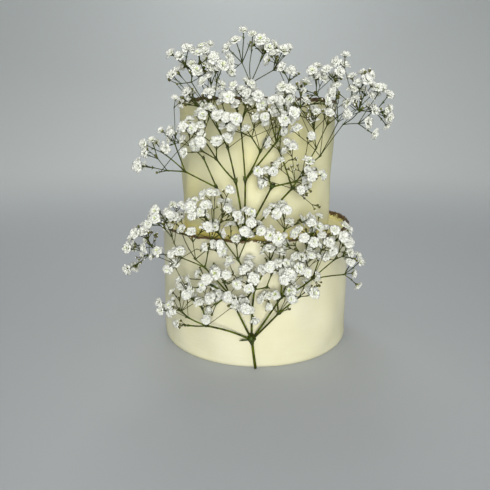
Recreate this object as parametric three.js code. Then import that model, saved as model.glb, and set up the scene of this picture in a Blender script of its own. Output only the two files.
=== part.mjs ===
// A wedding cake of two iced tiers, each with a raised ragged lip of icing, and two sprays of baby's
// breath on its front. Lengths are in millimetres and angles in degrees, +Z is up, the origin is the
// middle of the base, and the sprays are on the -Y side.

import * as THREE from "three";
import { ConvexHull } from "three/addons/math/ConvexHull.js";
import { mergeVertices } from "three/addons/utils/BufferGeometryUtils.js";

// Tiers: radius at the foot and at the lip, height of the lip's crest, and how far the top lies below it

const lowerTier = { floor: 0, footRadius: 109.3, lipRadius: 107, crest: 132.7, seed: 11 };
const upperTier = { floor: 126, footRadius: 83.6, lipRadius: 86, crest: 265.5, seed: 29 };
const recess = 7;
const lip = { width: 3.4, round: 1, shoulder: 2.4, fillet: 3 };
const footEdge = 1.2;
const stepsRound = 66;

// Waves round the lip: how many there are in the circle, and how high or how wide each one is

const riseWaves = [[5, 0.38], [11, 0.44], [17, 0.5], [29, 0.55], [41, 0.44]];
const driftWaves = [[3, 0.35], [7, 0.2], [19, 0.2], [37, 0.25]];

// Sprays: where each is cut, its trunk, and the growth of the forking ends

const upperSpray = { foot: [-13.8, -95.4, 126.6], trunkRadius: 1.7, seed: 407 };
const lowerSpray = { foot: [-1.6, -111.2, 0.3], trunkRadius: 0.95, seed: 1913 };
const boughRadius = 0.8;
const thinning = 0.8;
const twigRadius = 0.35;
const fork = { step: 9.5, shrink: 0.78, stepChange: 0.15, spread: 36, spreadChange: 0.25 };
const roll = { least: 60, most: 120 };
const stalk = { shortest: 3.5, longest: 7, tilt: 16, middleTilt: 8, stretch: 0.15, tries: 8 };
const room = 1.2;

// Florets: radii, and as shares of the radius the reach of the rim, the height of the middle, where the
// stalk ends and how near two may come. Facing is how much they turn to the front.

const floret = { smallest: 4, largest: 5.2, rim: 0.88, middle: 0.65, base: 0.45, spacing: 0.88 };
const facing = 0.4;
const bud = { radius: 1.3, share: 0.2 };
const blade = { thickness: 0.5, widestAt: 0.5 };

// Surfaces: corners round a stem and round a floret or leaf, the slack between the stems that meet at
// a joint, and how near two corners are one

const stemSides = 3;
const petalSides = 6;
const slack = 1.1;
const weld = 1e-4;

// A bough runs from its parent's end: turn is its angle from upright across the front, positive to the
// right, reach is its length and lean its angle forwards. A spike is a bough that ends in forking twigs,
// and a leaf is one that ends in a point.

function bough(turn, reach, lean, ...branches) {
  return { turn, reach, lean, branches, orders: 0 };
}

function spike(turn, reach, lean, orders) {
  return { turn, reach, lean, branches: [], orders };
}

function leaf(turn, reach, lean, width) {
  return { turn, reach, lean, branches: [], orders: 0, width };
}

const upperBoughs = bough(0, 7, 20,
  leaf(64, 19, 12, 3),
  bough(-27, 57, 10,
    bough(-62, 32, 7,
      bough(-86, 16, 12, spike(-77, 12, 9, 1), spike(-40, 14, -14, 1), spike(-100, 6, 10, 0)),
      spike(-51, 25, -12, 1),
      spike(-17, 27, 14, 1)),
    bough(-24, 29, -6, spike(-46, 16, 6, 2))),
  bough(-8, 57, 10,
    bough(-40, 27, 9, spike(-60, 14, 8, 1), spike(-32, 22, 15, 2), spike(3, 12, 36, 1)),
    bough(-13, 31, 4,
      spike(-30, 34, 2, 2),
      spike(2, 18, 22, 2),
      bough(-24, 33, 7,
        bough(-34, 31, 4, spike(4, 5, 6, 2), spike(-98, 9, 4, 0)),
        spike(-62, 14, 2, 1),
        spike(-19, 30, 1, 2),
        spike(-2, 24, -4, 2),
        spike(10, 26, 14, 1)))),
  bough(1, 57, 6,
    bough(-5, 50, 5,
      bough(14, 36, 6,
        bough(-25, 18, 6,
          spike(-47, 10, 5, 0),
          spike(-14, 9, 14, 0),
          spike(4, 19, 2, 0),
          spike(24, 14, 6, 0)),
        spike(1, 25, 6, 0),
        spike(24, 20, -10, 2),
        spike(62, 22, 8, 1)),
      spike(-15, 14, 24, 2),
      spike(22, 13, 26, 2)),
    bough(38, 46, 17,
      spike(14, 17, 14, 2),
      spike(-14, 28, -8, 2),
      spike(10, 44, -6, 2),
      spike(34, 36, 2, 2)),
    bough(27, 30, 12, spike(-32, 15, 6, 1))),
  bough(27, 57, 6, spike(76, 22, 8, 2), spike(-20, 10, 25, 1)),
  bough(42, 67, 7,
    bough(31, 17, 7,
      bough(27, 25, 5, spike(-8, 16, -5, 2), spike(22, 22, 12, 1)),
      bough(43, 22, 15,
        bough(26, 33, 1, spike(-6, 24, -4, 2), spike(-40, 29, -8, 2)),
        bough(33, 33, 10, spike(50, 18, -4, 3), spike(86, 13, 20, 1)))),
    spike(-20, 36, -3, 1)));

const lowerBoughs = bough(-7, 33, 4,
  leaf(-94, 13, 4, 2.4),
  bough(-71, 47, 1,
    spike(-92, 18, -6, 0),
    bough(-64, 20, 1, spike(-46, 9, -9, 2)),
    bough(-10, 20, 11, spike(-40, 12, 9, 1))),
  bough(-23, 56, 9,
    bough(-39, 36, 6,
      bough(-66, 23, 1,
        bough(-84, 23, -9, spike(-98, 8, 1, 2), spike(-42, 9, -18, 2)),
        bough(-25, 15, 1, spike(-20, 6, -12, 3)),
        spike(-140, 8, 2, 0)),
      bough(-44, 12, 10, spike(-6, 17, 6, 2), spike(-24, 32, 2, 2), spike(48, 16, 12, 2)),
      bough(11, 14, -20, spike(14, 22, 2, 3))),
    spike(-122, 15, 16, 1),
    spike(-17, 15, 22, 2),
    spike(-54, 20, 20, 2)),
  bough(2, 56, 7,
    bough(-27, 34, 7, spike(-6, 14, 7, 2), spike(-34, 32, 8, 2), spike(22, 19, -4, 2)),
    bough(27, 30, 1, spike(-2, 20, 12, 2), spike(24, 34, -4, 2)),
    bough(70, 13, 24, spike(17, 14, 14, 2)),
    spike(-36, 15, 42, 2),
    spike(-120, 11, 55, 2)),
  bough(30, 55, 7,
    bough(52, 36, 13,
      spike(86, 32, -13, 1),
      spike(50, 27, -10, 2),
      spike(16, 28, -6, 3),
      spike(-19, 22, -4, 3)),
    spike(15, 20, 24, 3),
    spike(2, 44, 3, 2)),
  bough(40, 40, 7, spike(42, 29, 18, 1), spike(-6, 15, 20, 0)));

// A draw is a repeatable random number between two limits

function drawFrom(seed) {
  let state = seed;
  return (low, high) => {
    state = (state * 48271) % 2147483647;
    return low + ((high - low) * state) / 2147483647;
  };
}

// A ripple is a sum of sines round the circle, so that it closes on itself

function ripple(draw, waves) {
  const phases = waves.map(() => draw(0, 360));
  return (angle) =>
    waves.reduce((sum, [count, size], i) => {
      return sum + size * Math.sin(count * angle + THREE.MathUtils.degToRad(phases[i]));
    }, 0);
}

// A tier's section runs from the middle of its base, up the wall, over the lip and in to the middle

function tierSection(tier) {
  const inner = tier.lipRadius - lip.width;
  const top = tier.crest - recess;
  const cut = lip.fillet * (1 - Math.SQRT1_2);
  return [
    [0, tier.floor],
    [tier.footRadius - footEdge, tier.floor],
    [tier.footRadius, tier.floor + footEdge],
    [tier.lipRadius, tier.crest - lip.shoulder],
    [tier.lipRadius - lip.round, tier.crest],
    [inner + lip.round, tier.crest],
    [inner, tier.crest - lip.shoulder],
    [inner, top + lip.fillet],
    [inner - cut, top + cut],
    [inner - lip.fillet, top],
    [0, top],
  ].map(([radius, height]) => new THREE.Vector2(radius, height));
}

// The lip is torn: its crest rises and dips, and it wanders in and out

function tierGeometry(tier) {
  const lathe = new THREE.LatheGeometry(tierSection(tier), stepsRound);
  lathe.rotateX(Math.PI / 2);
  lathe.deleteAttribute("normal");
  lathe.deleteAttribute("uv");
  const geometry = mergeVertices(lathe, weld);
  const draw = drawFrom(tier.seed);
  const rise = ripple(draw, riseWaves);
  const drift = ripple(draw, driftWaves);
  const at = new THREE.Vector3();
  const spot = geometry.attributes.position;
  for (let i = 0; i < spot.count; i += 1) {
    at.fromBufferAttribute(spot, i);
    const angle = Math.atan2(at.y, at.x);
    const radius = Math.hypot(at.x, at.y);
    const onLip = THREE.MathUtils.smoothstep(at.z, tier.crest - recess, tier.crest);
    const grown = radius + onLip * drift(angle);
    spot.setXYZ(i, grown * Math.cos(angle), grown * Math.sin(angle), at.z + onLip * rise(angle));
  }
  geometry.computeVertexNormals();
  return geometry;
}

// Sprays

function heading(turn, lean) {
  const across = THREE.MathUtils.degToRad(turn);
  const out = THREE.MathUtils.degToRad(lean);
  return new THREE.Vector3(
    Math.cos(out) * Math.sin(across),
    -Math.sin(out),
    Math.cos(out) * Math.cos(across),
  );
}

// A direction square to a twig, turned round it by an angle

function sideways(along, angle) {
  const side = new THREE.Vector3(0, -1, 0).cross(along).normalize();
  return side.applyAxisAngle(along, THREE.MathUtils.degToRad(angle));
}

function tilted(along, axis, angle) {
  return along.clone().applyAxisAngle(axis, THREE.MathUtils.degToRad(angle));
}

// Keeps a point, with some room round it, outside the iced walls

function clearOfIcing(point, margin) {
  const beside = point.z < lowerTier.crest + margin ? lowerTier : upperTier;
  const wall = Math.max(beside.footRadius, beside.lipRadius) + margin;
  const away = Math.hypot(point.x, point.y);
  if (point.z < upperTier.crest + margin && away < wall) {
    point.x *= wall / away;
    point.y *= wall / away;
  }
  return point;
}

function distanceToStem(point, stem) {
  const line = new THREE.Line3(stem.from.at, stem.to.at);
  return line.closestPointToPoint(point, true, new THREE.Vector3()).distanceTo(point);
}

// Grows a spray into joints and the stems between them. A joint is the foot, or where stems meet, or a
// tip with a floret, a bud or the point of a leaf. What is grown keeps clear of what is there, and a
// floret that finds no room stays a bud.

function grow(spray, trunk, garden) {
  const draw = drawFrom(spray.seed);
  const joints = [];

  function addJoint(at, tip) {
    const joint = { at, tip, stems: [] };
    joints.push(joint);
    return joint;
  }

  function addStem(from, at, radius, tip) {
    const to = addJoint(at, tip);
    const stem = { from, to, radius };
    from.stems.push(stem);
    to.stems.push(stem);
    garden.stems.push(stem);
    return to;
  }

  function hasRoomForFloret(at, radius, from) {
    const apart = garden.florets.every((other) => {
      return other.at.distanceTo(at) > floret.spacing * (other.radius + radius);
    });
    return apart && garden.stems.every((stem) => {
      const isNextTo = stem.from === from || stem.to === from;
      return isNextTo || distanceToStem(at, stem) > floret.rim * radius + twigRadius;
    });
  }

  function hasRoomForStem(from, at) {
    const stem = { from, to: { at } };
    return garden.florets.every((other) => {
      return distanceToStem(other.at, stem) > floret.rim * other.radius + twigRadius;
    });
  }

  function addFloret(from, along, mostTilt) {
    for (let attempt = 0; attempt < stalk.tries; attempt += 1) {
      const way = tilted(along, sideways(along, draw(0, 360)), draw(0, mostTilt));
      const radius = draw(floret.smallest, floret.largest);
      const length = draw(stalk.shortest, stalk.longest) * (1 + stalk.stretch * attempt);
      const centre = from.at.clone().addScaledVector(way, length + floret.middle * radius);
      const at = clearOfIcing(centre, radius + room);
      const faces = way.add(new THREE.Vector3(0, -facing, 0)).normalize();
      const spin = draw(0, 360);
      if (hasRoomForFloret(at, radius, from) && hasRoomForStem(from, at)) {
        const flower = { at, radius, faces, spin };
        addStem(from, at, twigRadius, flower);
        garden.florets.push(flower);
        return true;
      }
    }
    return false;
  }

  function addBud(from, along) {
    const centre = from.at.clone().addScaledVector(along, stalk.shortest);
    const at = clearOfIcing(centre, bud.radius + room);
    if (hasRoomForStem(from, at)) {
      addStem(from, at, twigRadius, { isBud: true });
    }
  }

  function addTip(from, along, mostTilt) {
    const opens = draw(0, 1) > bud.share;
    if (!opens || !addFloret(from, along, mostTilt)) {
      addBud(from, along);
    }
  }

  function addForks(from, along, orders, step, turned) {
    const hinge = sideways(along, turned);
    for (const sign of [-1, 1]) {
      const spread = fork.spread * draw(1 - fork.spreadChange, 1 + fork.spreadChange);
      const way = tilted(along, hinge, sign * spread);
      const length = step * draw(1 - fork.stepChange, 1 + fork.stepChange);
      const at = clearOfIcing(from.at.clone().addScaledVector(way, length), room);
      const turnedNext = turned + draw(roll.least, roll.most);
      if (hasRoomForStem(from, at)) {
        const to = addStem(from, at, twigRadius);
        if (orders > 1) {
          addForks(to, way, orders - 1, step * fork.shrink, turnedNext);
        } else {
          addTip(to, way, stalk.tilt);
        }
      }
    }
    addTip(from, along, stalk.middleTilt);
  }

  function addBough(part, from, radius) {
    const along = heading(part.turn, part.lean);
    const at = from.at.clone().addScaledVector(along, part.reach);
    const to = addStem(from, at, radius, part.width && { width: part.width });
    const thinner = Math.max(twigRadius, thinning * Math.min(radius, boughRadius));
    part.branches.forEach((branch) => addBough(branch, to, thinner));
    if (part.orders > 0) {
      addForks(to, along, part.orders, fork.step, draw(0, 180));
    } else if (part.branches.length === 0 && !part.width) {
      addTip(to, along, stalk.tilt);
    }
  }

  addBough(trunk, addJoint(new THREE.Vector3(...spray.foot)), spray.trunkRadius);
  return joints;
}

// A ring of points round a direction, circular or flattened

function ring(at, along, radius, count, spin = 0, flatness = 1) {
  const wide = sideways(along, spin);
  const thin = sideways(along, spin + 90);
  return Array.from({ length: count }, (_, i) => {
    const angle = (2 * Math.PI * i) / count;
    return at.clone()
      .addScaledVector(wide, radius * Math.cos(angle))
      .addScaledVector(thin, flatness * radius * Math.sin(angle));
  });
}

// Joins a ring to the next one, of as many points or twice as many, that lies further along

function bridge(near, far) {
  const faces = [];
  const pick = far.length / near.length;
  for (let i = 0; i < near.length; i += 1) {
    const next = near[(i + 1) % near.length];
    const across = far[(pick * i + 1) % far.length];
    faces.push([near[i], next, across], [near[i], across, far[pick * i]]);
    if (pick === 2) {
      faces.push([next, far[(2 * i + 2) % far.length], across]);
    }
  }
  return faces;
}

function fan(points, top) {
  return points.map((point, i) => [point, points[(i + 1) % points.length], top]);
}

// How far from a joint each of its stems begins, so that a hull round the beginnings has each as a face

function setbacks(rays) {
  const back = rays.map((ray) => ray.radius);
  rays.forEach((ray, i) => {
    rays.forEach((other, j) => {
      if (i !== j) {
        const half = ray.along.angleTo(other.along) / 2;
        back[i] = Math.max(back[i], (slack * Math.max(ray.radius, other.radius)) / Math.tan(half));
      }
    });
  });
  for (let pass = 0; pass < rays.length; pass += 1) {
    rays.forEach((ray, i) => {
      rays.forEach((other, j) => {
        const angle = ray.along.angleTo(other.along);
        const reaches = back[j] * Math.cos(angle) + slack * other.radius * Math.sin(angle);
        back[i] = i === j ? back[i] : Math.max(back[i], reaches);
      });
    });
  }
  return back;
}

// The hull round the beginnings of a joint's stems, open where the stems leave it

function jointFaces(rings) {
  const owner = new Map(rings.flatMap((points, i) => points.map((point) => [point, i])));
  const hull = new ConvexHull().setFromPoints([...owner.keys()]);
  return hull.faces
    .map((face) => [0, 1, 2].map((k) => face.getEdge(k).head().point))
    .filter(([a, b, c]) => owner.get(a) !== owner.get(b) || owner.get(b) !== owner.get(c));
}

// A floret is a cone up to a rim of six points, and a flatter one above it

function floretFaces(mouth, { at, radius, faces, spin }) {
  const rim = ring(at, faces, floret.rim * radius, petalSides, spin);
  return [...bridge(mouth, rim), ...fan(rim, at.clone().addScaledVector(faces, floret.middle * radius))];
}

// The solid has no buds, and none of the twigs that bear nothing else

function isSolid(stem) {
  const { tip, stems } = stem.to;
  return tip ? !tip.isBud : stems.some((next) => next !== stem && isSolid(next));
}

// The rays of a joint are its stems seen from there

function raysFrom(joint) {
  return joint.stems.filter(isSolid).map((stem) => {
    const far = stem.from === joint ? stem.to : stem.from;
    const along = far.at.clone().sub(joint.at);
    const length = along.length();
    return { stem, length, along: along.normalize(), radius: stem.radius };
  });
}

// A mouth is the ring where a stem begins or ends near a joint

function mouthsOf(joint, rays) {
  const { tip } = joint;
  const back = rays.length > 1 ? setbacks(rays) : [0];
  return rays.map(({ stem, length, along, radius }, i) => {
    const towardTip = stem.from === joint ? along : along.clone().negate();
    if (tip?.width) {
      const widest = joint.at.clone().addScaledVector(along, (1 - blade.widestAt) * length);
      return ring(widest, towardTip, tip.width / 2, petalSides, 0, blade.thickness / tip.width);
    }
    const distance = tip ? floret.base * tip.radius : back[i];
    return ring(joint.at.clone().addScaledVector(along, distance), towardTip, radius, stemSides);
  });
}

// The faces that close a joint, or its tip or foot

function closingFaces(joint, mouths) {
  if (mouths.length > 1) {
    return jointFaces(mouths);
  }
  if (joint.tip?.width) {
    return fan(mouths[0], joint.at);
  }
  return joint.tip ? floretFaces(mouths[0], joint.tip) : [[...mouths[0]].reverse()];
}

// Wraps a grown spray in one closed surface of triangles

function sprayGeometry(joints) {
  const faces = [];
  const starts = new Map();
  for (const joint of joints) {
    const rays = raysFrom(joint);
    const mouths = mouthsOf(joint, rays);
    if (mouths.length > 0) {
      faces.push(...closingFaces(joint, mouths));
    }
    rays.forEach(({ stem }, i) => {
      if (starts.has(stem)) {
        faces.push(...bridge(starts.get(stem), mouths[i]));
      } else {
        starts.set(stem, mouths[i]);
      }
    });
  }
  const geometry = mergeVertices(new THREE.BufferGeometry().setFromPoints(faces.flat()), weld);
  geometry.computeVertexNormals();
  return geometry;
}

// The cake

const icing = new THREE.MeshStandardMaterial({ color: 0xe9e6c6, roughness: 0.6 });
const blossom = new THREE.MeshStandardMaterial({ color: 0xe8ece6, roughness: 0.8 });

function named(name, geometry, material) {
  const mesh = new THREE.Mesh(geometry, material);
  mesh.name = name;
  return mesh;
}

const garden = { florets: [], stems: [] };
const upperJoints = grow(upperSpray, upperBoughs, garden);
const lowerJoints = grow(lowerSpray, lowerBoughs, garden);

const cake = new THREE.Group();
cake.add(named("lower_tier", tierGeometry(lowerTier), icing));
cake.add(named("upper_tier", tierGeometry(upperTier), icing));
cake.add(named("upper_spray", sprayGeometry(upperJoints), blossom));
cake.add(named("lower_spray", sprayGeometry(lowerJoints), blossom));

export default cake;
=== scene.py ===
"""The looks of a wedding cake: two iced tiers with painted lips, and two sprays of baby's breath.

Lengths are in millimetres and angles in degrees until a mesh is made, which is in metres. +Z is up, the
origin is the middle of the base, and the sprays are on the -Y side.
"""

import math
from typing import NamedTuple

import bpy
import numpy as np
from mathutils import Matrix, Vector


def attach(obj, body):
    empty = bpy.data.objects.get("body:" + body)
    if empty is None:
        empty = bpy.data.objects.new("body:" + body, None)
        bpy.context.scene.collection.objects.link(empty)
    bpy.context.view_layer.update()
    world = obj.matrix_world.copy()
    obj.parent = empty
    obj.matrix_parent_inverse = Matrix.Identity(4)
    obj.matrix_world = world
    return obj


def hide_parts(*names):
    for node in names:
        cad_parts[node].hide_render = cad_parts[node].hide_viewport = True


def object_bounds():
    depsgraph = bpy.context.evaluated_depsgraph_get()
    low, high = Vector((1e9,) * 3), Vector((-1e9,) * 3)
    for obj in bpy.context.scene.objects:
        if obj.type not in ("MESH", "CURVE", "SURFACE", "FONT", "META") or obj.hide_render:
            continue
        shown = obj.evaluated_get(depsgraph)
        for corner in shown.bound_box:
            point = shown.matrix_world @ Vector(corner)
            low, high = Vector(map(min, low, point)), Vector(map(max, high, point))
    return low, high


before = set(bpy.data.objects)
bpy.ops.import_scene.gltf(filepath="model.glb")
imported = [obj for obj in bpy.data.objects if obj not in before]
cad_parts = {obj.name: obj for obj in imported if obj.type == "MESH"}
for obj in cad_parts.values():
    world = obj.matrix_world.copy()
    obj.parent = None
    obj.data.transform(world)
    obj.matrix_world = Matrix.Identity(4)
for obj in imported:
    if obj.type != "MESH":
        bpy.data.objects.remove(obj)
solid_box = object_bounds()

# Sizes of the tiers, the same as in the solids


class Tier(NamedTuple):
    """A tier's floor, its radii at the foot and the lip, its crest, the seed of its unevenness, the
    height of its seam or 0, and how much higher its lip is at the back right."""

    floor: float
    foot: float
    lip: float
    crest: float
    seed: int
    seam: float
    lift: float


LOWER = Tier(floor=0, foot=109.3, lip=107, crest=132.7, seed=11, seam=0, lift=2.6)
UPPER = Tier(floor=126, foot=83.6, lip=86, crest=265.5, seed=29, seam=249, lift=0)
RECESS = 7
LIP_WIDTH = 3.4
LIP_ROUND = 1
LIP_SHOULDER = 2.4
LIP_FILLET = 3
FOOT_EDGE = 1.2
RISE_WAVES = [(5, 0.38), (11, 0.44), (17, 0.5), (29, 0.55), (41, 0.44)]
DRIFT_WAVES = [(3, 0.35), (7, 0.2), (19, 0.2), (37, 0.25)]

# Sizes of the sprays, the same as in the solids

BOUGH_RADIUS = 0.8
THINNING = 0.8
TWIG_RADIUS = 0.35
FORK_STEP = 9.5
FORK_SHRINK = 0.78
FORK_CHANGE = 0.15
FORK_SPREAD = 36
SPREAD_CHANGE = 0.25
ROLL = (60, 120)
STALK = (3.5, 7)
STALK_TILT = 16
MIDDLE_TILT = 8
STALK_STRETCH = 0.15
STALK_TRIES = 8
ROOM = 1.2
FLORET = (4, 5.2)
FLORET_RIM = 0.88
FLORET_MIDDLE = 0.65
FLORET_BASE = 0.45
FLORET_SPACING = 0.88
FACING = 0.4
BUD_RADIUS = 1.3
BUD_SHARE = 0.2

# Thin shoots between the boughs, which the solids leave out: the least radius of a trunk, which bears
# none, the share that start from a lower bough end, how far down and aside it lies, how far they come
# forwards, how short of their aim and how long at least they are, and how far they leave the solids' box

TRUNK = 0.9
SHOOT_LONG_SHARE = 0.65
SHOOT_DOWN = (10, 48)
SHOOT_ASIDE = 36
SHOOT_OUT = (0, 7)
SHOOT_SHORT = 9
SHOOT_LEAST = 4
SHOOT_RADIUS = 0.26
SHOOT_STALKS = 3
SHOOT_STALK_TILT = (10, 50)
SHOOT_TRIES = 3
SHOOT_FLORET = (3.6, 4.9)
SHOOT_SPACING = 0.8
BOX_SLACK = 2
SEED_STEP = 7919

# The boughs of each spray


class Bough(NamedTuple):
    """A bough's angle from upright, positive to the right, its length, its angle forwards, what branches
    from its end, how many times its twigs fork, and its width where it is a leaf."""

    turn: float
    reach: float
    lean: float
    branches: tuple
    orders: int
    width: float


def bough(turn, reach, lean, *branches):
    """A bough that bears other boughs."""
    return Bough(turn, reach, lean, branches, 0, 0)


def spike(turn, reach, lean, orders):
    """A bough that ends in forking twigs, or in one floret or bud."""
    return Bough(turn, reach, lean, (), orders, 0)


def leaf(turn, reach, lean, width):
    """A leaf in a bough's place."""
    return Bough(turn, reach, lean, (), 0, width)


UPPER_BOUGHS = bough(0, 7, 20,
    leaf(64, 19, 12, 3),
    bough(-27, 57, 10,
        bough(-62, 32, 7,
            bough(-86, 16, 12,
                spike(-77, 12, 9, 1), spike(-40, 14, -14, 1), spike(-100, 6, 10, 0)),
            spike(-51, 25, -12, 1), spike(-17, 27, 14, 1)),
        bough(-24, 29, -6, spike(-46, 16, 6, 2))),
    bough(-8, 57, 10,
        bough(-40, 27, 9, spike(-60, 14, 8, 1), spike(-32, 22, 15, 2), spike(3, 12, 36, 1)),
        bough(-13, 31, 4,
            spike(-30, 34, 2, 2), spike(2, 18, 22, 2),
            bough(-24, 33, 7,
                bough(-34, 31, 4, spike(4, 5, 6, 2), spike(-98, 9, 4, 0)),
                spike(-62, 14, 2, 1), spike(-19, 30, 1, 2), spike(-2, 24, -4, 2),
                spike(10, 26, 14, 1)))),
    bough(1, 57, 6,
        bough(-5, 50, 5,
            bough(14, 36, 6,
                bough(-25, 18, 6,
                    spike(-47, 10, 5, 0), spike(-14, 9, 14, 0), spike(4, 19, 2, 0),
                    spike(24, 14, 6, 0)),
                spike(1, 25, 6, 0), spike(24, 20, -10, 2), spike(62, 22, 8, 1)),
            spike(-15, 14, 24, 2), spike(22, 13, 26, 2)),
        bough(38, 46, 17,
            spike(14, 17, 14, 2), spike(-14, 28, -8, 2), spike(10, 44, -6, 2), spike(34, 36, 2, 2)),
        bough(27, 30, 12, spike(-32, 15, 6, 1))),
    bough(27, 57, 6, spike(76, 22, 8, 2), spike(-20, 10, 25, 1)),
    bough(42, 67, 7,
        bough(31, 17, 7,
            bough(27, 25, 5, spike(-8, 16, -5, 2), spike(22, 22, 12, 1)),
            bough(43, 22, 15,
                bough(26, 33, 1, spike(-6, 24, -4, 2), spike(-40, 29, -8, 2)),
                bough(33, 33, 10, spike(50, 18, -4, 3), spike(86, 13, 20, 1)))),
        spike(-20, 36, -3, 1)))

LOWER_BOUGHS = bough(-7, 33, 4,
    leaf(-94, 13, 4, 2.4),
    bough(-71, 47, 1,
        spike(-92, 18, -6, 0),
        bough(-64, 20, 1, spike(-46, 9, -9, 2)),
        bough(-10, 20, 11, spike(-40, 12, 9, 1))),
    bough(-23, 56, 9,
        bough(-39, 36, 6,
            bough(-66, 23, 1,
                bough(-84, 23, -9, spike(-98, 8, 1, 2), spike(-42, 9, -18, 2)),
                bough(-25, 15, 1, spike(-20, 6, -12, 3)),
                spike(-140, 8, 2, 0)),
            bough(-44, 12, 10, spike(-6, 17, 6, 2), spike(-24, 32, 2, 2), spike(48, 16, 12, 2)),
            bough(11, 14, -20, spike(14, 22, 2, 3))),
        spike(-122, 15, 16, 1), spike(-17, 15, 22, 2), spike(-54, 20, 20, 2)),
    bough(2, 56, 7,
        bough(-27, 34, 7, spike(-6, 14, 7, 2), spike(-34, 32, 8, 2), spike(22, 19, -4, 2)),
        bough(27, 30, 1, spike(-2, 20, 12, 2), spike(24, 34, -4, 2)),
        bough(70, 13, 24, spike(17, 14, 14, 2)),
        spike(-36, 15, 42, 2), spike(-120, 11, 55, 2)),
    bough(30, 55, 7,
        bough(52, 36, 13,
            spike(86, 32, -13, 1), spike(50, 27, -10, 2), spike(16, 28, -6, 3),
            spike(-19, 22, -4, 3)),
        spike(15, 20, 24, 3), spike(2, 44, 3, 2)),
    bough(40, 40, 7, spike(42, 29, 18, 1), spike(-6, 15, 20, 0)))


class Thicket(NamedTuple):
    """A place that thin shoots reach into: where it is across and up, its radius, how many they are, and
    the share of buds in what they bear."""

    across: float
    height: float
    radius: float
    shoots: int
    buds: float = 0.3


UPPER_THICKETS = [Thicket(*place) for place in (
    (-45, 302, 6, 2), (-55, 293, 11, 3), (-74, 284, 7, 3), (-69, 261, 8, 3), (-41, 279, 8, 3),
    (-21, 283, 4, 1), (10, 313, 5, 2), (23, 303, 4, 2), (6, 293, 7, 3), (23, 266, 11, 5),
    (33, 260, 9, 3), (70, 289, 7, 3), (64, 275, 11, 2), (93, 279, 11, 3), (98, 262, 8, 3),
    (52, 248, 7, 3), (-13, 256, 8, 3), (-48, 243, 11, 5), (-26, 242, 5, 2), (7, 247, 11, 5),
    (26, 222, 3, 1), (37, 230, 8, 3), (-100, 216, 5, 3), (-55, 223, 6, 2), (14, 202, 4, 2),
    (-1, 190, 4, 2), (53, 198, 4, 2), (45, 180, 6, 3), (35, 217, 4, 1, 1), (29, 205, 4, 2, 1),
    (46, 173, 6, 2, 1), (54, 164, 5, 1, 1), (34, 245, 4, 2, 1), (72, 262, 9, 4, 0.6),
    (84, 258, 8, 3, 0.7), (13, 244, 8, 4), (26, 240, 7, 3), (79, 268, 6, 2, 0.2),
)]

LOWER_THICKETS = [Thicket(*place) for place in (
    (-25, 186, 3, 1), (-38, 181, 8, 3), (-28, 171, 5, 2), (-64, 169, 9, 4), (-83, 164, 7, 3),
    (12, 166, 6, 2), (-7, 164, 3, 1), (-111, 154, 5, 2, 0.7), (-94, 141, 7, 3, 0.7),
    (-100, 130, 4, 1), (-117, 121, 4, 1, 1), (-72, 128, 6, 2), (-48, 137, 4, 2),
    (-81, 117, 3, 2), (61, 143, 9, 5), (61, 124, 10, 5), (85, 122, 5, 2), (30, 128, 7, 2),
    (6, 131, 5, 2), (-12, 110, 10, 5), (-45, 92, 9, 5), (-58, 77, 5, 2), (-89, 71, 7, 4),
    (-48, 60, 4, 1), (-18, 76, 4, 2), (4, 77, 6, 2), (29, 88, 8, 4), (29, 68, 4, 1),
    (-41, 120, 3, 1, 1), (-65, 95, 4, 2, 1), (4, 132, 5, 2, 1), (57, 97, 4, 2, 1),
    (-81, 51, 4, 2, 0.5),
)]

# Growth of the sprays, by the same rule as in the solids

DRAW_FACTOR = 48271
DRAW_PRIME = 2147483647


def drawn_from(seed):
    """A function that gives the next repeatable random number between two limits."""
    state = seed

    def draw(low, high):
        nonlocal state
        state = state * DRAW_FACTOR % DRAW_PRIME
        return low + (high - low) * state / DRAW_PRIME

    return draw


def unit(vectors):
    """Each vector divided by its length."""
    return vectors / np.linalg.norm(vectors, axis=-1, keepdims=True)


def heading(turn, lean):
    """The direction at an angle from upright across the front, and at another out of it."""
    across, out = math.radians(turn), math.radians(lean)
    return np.array([math.cos(out) * math.sin(across), -math.sin(out), math.cos(out) * math.cos(across)])


def tilted(along, axis, angle):
    """A direction turned about an axis square to it: along cos a + (axis x along) sin a."""
    a = math.radians(angle)
    return along * math.cos(a) + np.cross(axis, along) * math.sin(a)


def sideways(along, angle):
    """A direction square to a twig, turned round it by an angle."""
    side = unit(np.cross([0, -1, 0], along))
    return tilted(side, along, angle)


def clear_of_icing(point, margin):
    """A point moved straight out from the axis until it has some room to the iced walls."""
    beside = LOWER if point[2] < LOWER.crest + margin else UPPER
    wall = max(beside.foot, beside.lip) + margin
    away = math.hypot(point[0], point[1])
    if point[2] < UPPER.crest + margin and away < wall:
        return point * [wall / away, wall / away, 1]
    return point


def is_inside(at, radius):
    """True where a ball leaves the solids' box by no more than the slack."""
    low, high = np.array(solid_box) * 1000
    return np.all(at - radius > low - BOX_SLACK) and np.all(at + radius < high + BOX_SLACK)


def distances(points, starts, ends):
    """From points to line pieces: to start + t (end - start) with t held between 0 and 1."""
    run = ends - starts
    share = ((points - starts) * run).sum(-1) / (run * run).sum(-1)
    return np.linalg.norm(starts + np.clip(share, 0, 1)[..., None] * run - points, axis=-1)


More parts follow.
